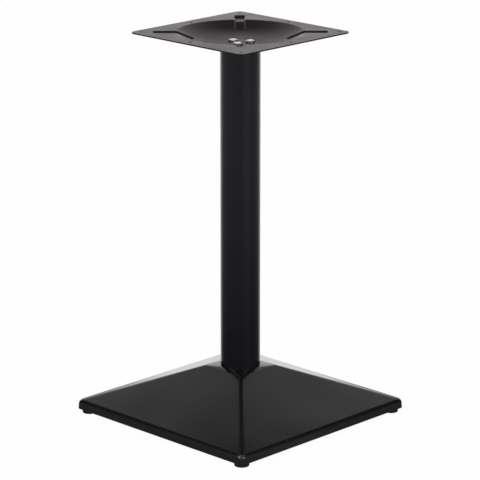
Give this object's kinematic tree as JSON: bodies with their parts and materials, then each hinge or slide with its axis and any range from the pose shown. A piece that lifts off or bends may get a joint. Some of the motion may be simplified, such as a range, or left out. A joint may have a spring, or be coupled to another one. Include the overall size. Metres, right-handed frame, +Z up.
{
  "type": "table base",
  "caption": "Cafe table base: pressed steel pyramid foot on screw-in levelling feet, a round column and a square dished top plate drilled for a table top.",
  "frame": {"origin": "on the floor under the middle of the column", "axes": "+Z up along the column; X and Y along the sides of the square foot and top plate"},
  "size_m": [0.45, 0.45, 0.75],
  "materials": {
    "cover_coat": "satin black powder coat",
    "column_coat": "satin black powder coat",
    "plate_coat": "satin black powder coat",
    "bolt_zinc": "bright zinc plated",
    "stud_zinc": "zinc plated",
    "inner_steel": "thin black coat over mild steel",
    "ballast_iron": "as cast, black dipped",
    "foot_plastic": "matt moulded"
  },
  "bodies": {
    "base": {"base_cover": "cover_coat", "corner_gussets": "inner_steel", "foot_weld_nuts": "stud_zinc", "ballast_block": "ballast_iron", "tie_bolt": "bolt_zinc", "tie_bolt_washer": "bolt_zinc", "tie_bolt_spring_washer": "bolt_zinc", "column_tube": "column_coat", "column_foot_disc": "inner_steel", "column_head_disc": "inner_steel", "top_plate": "plate_coat", "top_plate_bolts": "bolt_zinc"},
    "foot_front_right": {"foot_stud_front_right": "stud_zinc", "foot_pad_front_right": "foot_plastic"},
    "foot_rear_right": {"foot_stud_rear_right": "stud_zinc", "foot_pad_rear_right": "foot_plastic"},
    "foot_rear_left": {"foot_stud_rear_left": "stud_zinc", "foot_pad_rear_left": "foot_plastic"},
    "foot_front_left": {"foot_stud_front_left": "stud_zinc", "foot_pad_front_left": "foot_plastic"}
  },
  "joints": [
    {"name": "foot_front_right_screw", "type": "slide", "parent": "base", "child": "foot_front_right", "axis": [0, 0, -1], "range_m": [0, 0.008]},
    {"name": "foot_rear_right_screw", "type": "slide", "parent": "base", "child": "foot_rear_right", "axis": [0, 0, -1], "range_m": [0, 0.008]},
    {"name": "foot_rear_left_screw", "type": "slide", "parent": "base", "child": "foot_rear_left", "axis": [0, 0, -1], "range_m": [0, 0.008]},
    {"name": "foot_front_left_screw", "type": "slide", "parent": "base", "child": "foot_front_left", "axis": [0, 0, -1], "range_m": [0, 0.008]}
  ]
}
